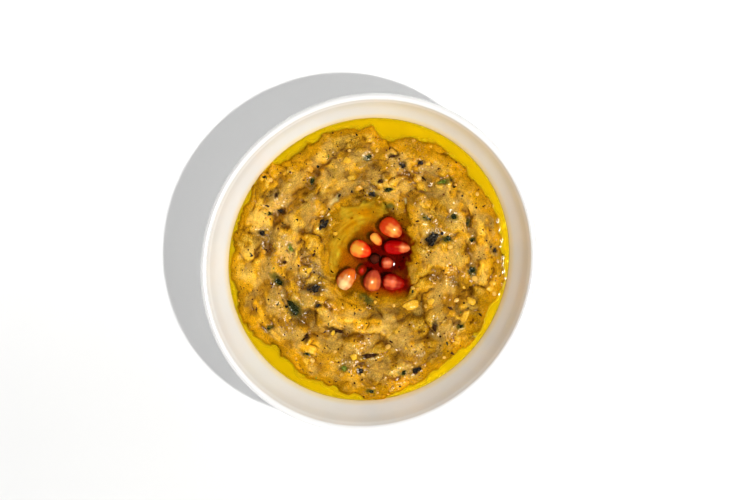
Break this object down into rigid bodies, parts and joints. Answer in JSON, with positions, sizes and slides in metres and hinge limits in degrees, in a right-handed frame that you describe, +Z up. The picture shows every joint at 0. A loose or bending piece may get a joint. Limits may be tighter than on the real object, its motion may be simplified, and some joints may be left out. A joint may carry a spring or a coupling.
{
  "type": "baba ganoush in a bowl",
  "caption": "Lumpy roasted aubergine dip in a round-bottomed bowl, ringed with oil, with pomegranate arils in an oil-filled well.",
  "frame": {"origin": "on the table under the middle of the bowl", "axes": "+Z up out of the bowl, +X along the bowl's slightly longer axis"},
  "size_m": [0.1538, 0.1462, 0.05],
  "materials": {
    "glaze": "gloss",
    "mash": "wet",
    "oil": "gloss",
    "fruit": "gloss"
  },
  "bodies": {
    "root": {"bowl": "glaze", "dip": "mash", "oil_ring": "oil", "oil_pool": "oil", "aril_1": "fruit", "aril_2": "fruit", "aril_3": "fruit", "aril_4": "fruit", "aril_5": "fruit", "aril_6": "fruit", "aril_7": "fruit", "aril_8": "fruit", "aril_9": "fruit", "aril_10": "fruit"}
  },
  "joints": []
}
